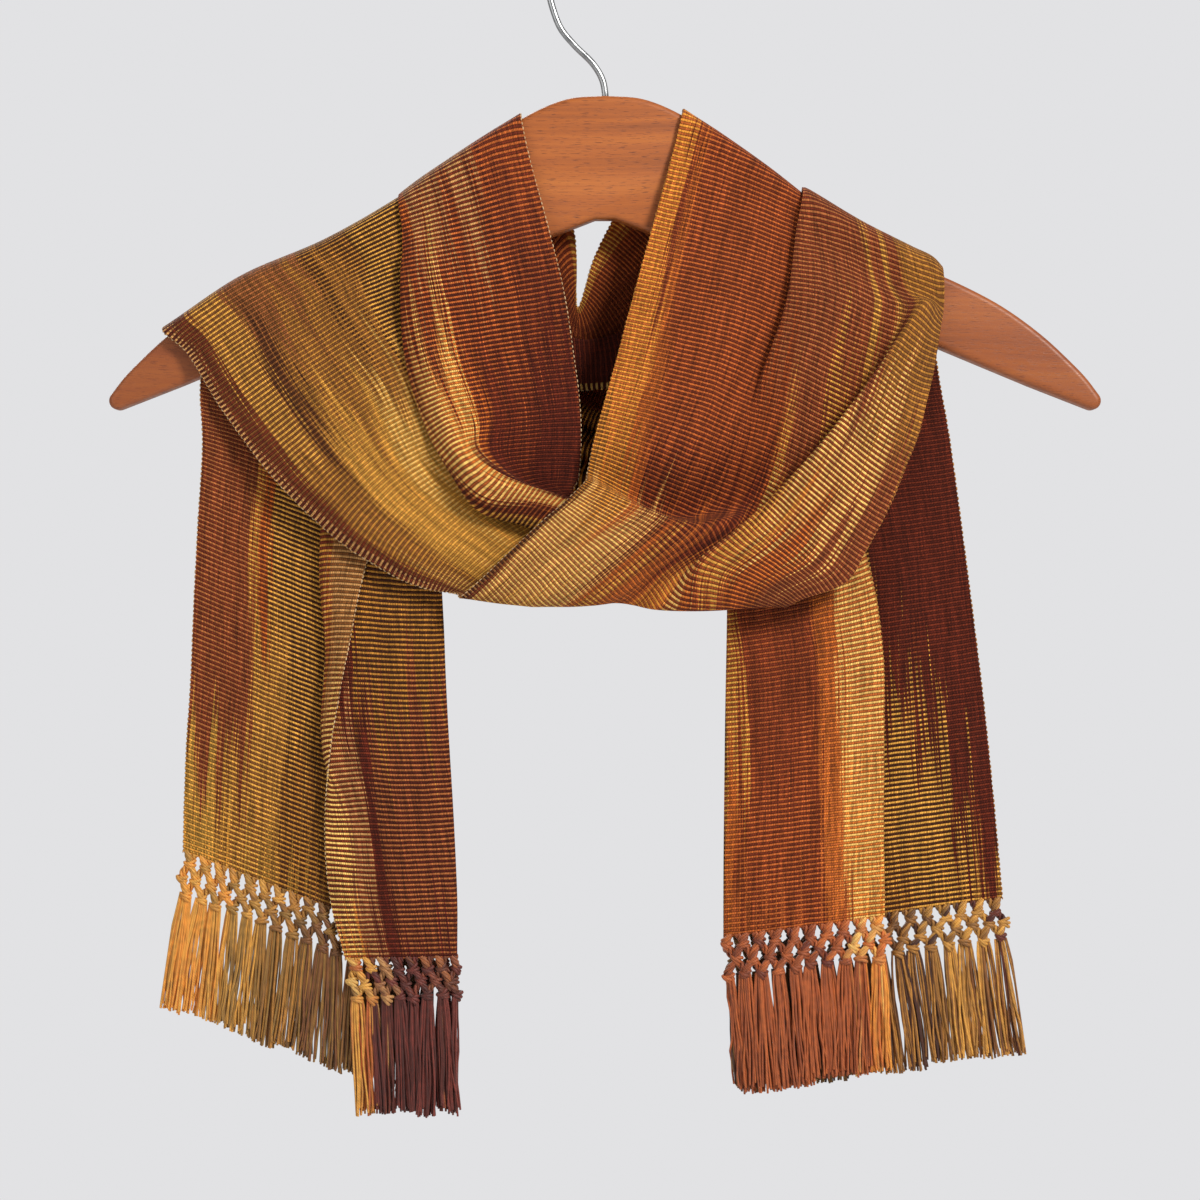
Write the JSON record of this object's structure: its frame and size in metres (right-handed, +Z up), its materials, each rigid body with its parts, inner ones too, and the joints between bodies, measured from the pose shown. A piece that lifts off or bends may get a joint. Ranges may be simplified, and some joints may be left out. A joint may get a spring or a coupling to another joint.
{
  "type": "woven scarf on a wooden hanger",
  "caption": "Hand-woven warp-striped scarf with knotted fringes, wound round a flat wooden hanger with a steel hook.",
  "frame": {"origin": "inside top of the hanger's hook, where a rail or peg carries it", "axes": "+X to the right as seen from the front, +Z up, the front faces -Y"},
  "size_m": [0.4452, 0.069, 0.5323],
  "materials": {
    "wood": "satin oiled hardwood, orange-brown, fine straight grain",
    "steel": "bright plain steel wire",
    "cloth": "hand-woven ribbed cotton in streaked maroon, rust, gold and olive, slight sheen",
    "yarn": "plied mercerised cotton yarn, slight sheen"
  },
  "bodies": {
    "root": {"hanger_board": "wood", "hanger_hook": "steel", "end_left": "cloth", "neck_inner": "cloth", "front_right": "cloth", "front_left": "cloth", "neck_outer": "cloth", "end_right": "cloth", "fringe_left": "yarn", "fringe_right": "yarn"}
  },
  "joints": []
}
